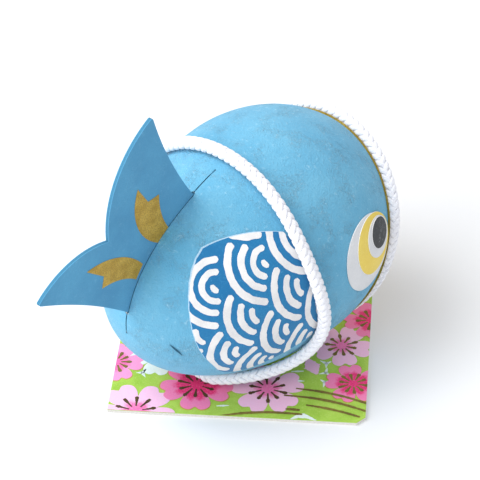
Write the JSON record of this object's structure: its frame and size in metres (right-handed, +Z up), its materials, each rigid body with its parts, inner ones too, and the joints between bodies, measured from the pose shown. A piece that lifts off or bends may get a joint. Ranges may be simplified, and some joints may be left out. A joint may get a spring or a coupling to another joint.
{
  "type": "papier-mache carp streamer ornament",
  "caption": "Round papier-mache carp with a forked card tail, paper fins and eyes and white braided cords, standing on a square patterned card.",
  "frame": {"origin": "centre of the square card's underside", "axes": "+Z up, the carp heads towards -Y, its right side is -X"},
  "size_m": [0.1245, 0.1601, 0.1194],
  "materials": {
    "backing_paper": "matt uncoated white paper",
    "card_core": "pale grey-white card, cut edge",
    "printed_paper": "lime green paper screen-printed with pink cherry blossom",
    "papier_mache": "layered moulded paper",
    "blue_paper": "light blue hand-made fibrous paper",
    "gold_paper": "gold-painted paper, satin",
    "white_cord": "white braided cord, soft sheen",
    "tail_card": "card, edges coloured by the paper",
    "tail_paper": "darker blue hand-made paper",
    "fin_paper": "deep blue paper printed with off-white wave scales",
    "eye_white_paper": "white fibrous paper",
    "eye_yellow_paper": "yellow fibrous paper",
    "pupil_paper": "charcoal fibrous paper"
  },
  "bodies": {
    "stand": {"base_liner": "backing_paper", "base_board": "card_core", "base_cover": "printed_paper"},
    "carp": {"shell_left": "papier_mache", "shell_right": "papier_mache", "body_skin": "blue_paper", "mouth_panel": "gold_paper", "mouth_cord": "white_cord", "gill_cord": "white_cord", "tail_core": "tail_card", "tail_skin_left": "tail_paper", "tail_skin_right": "tail_paper", "tail_mark_upper_left": "gold_paper", "tail_mark_lower_left": "gold_paper", "fin_left": "fin_paper", "eye_white_left": "eye_white_paper", "eye_ring_left": "eye_white_paper", "eye_yellow_left": "eye_yellow_paper", "pupil_left": "pupil_paper", "tail_mark_upper_right": "gold_paper", "tail_mark_lower_right": "gold_paper", "fin_right": "fin_paper", "eye_white_right": "eye_white_paper", "eye_ring_right": "eye_white_paper", "eye_yellow_right": "eye_yellow_paper", "pupil_right": "pupil_paper"}
  },
  "joints": [
    {"name": "carp_lift", "type": "slide", "parent": "stand", "child": "carp", "axis": [0, 0, 1], "range_m": [0, 0.06]}
  ]
}
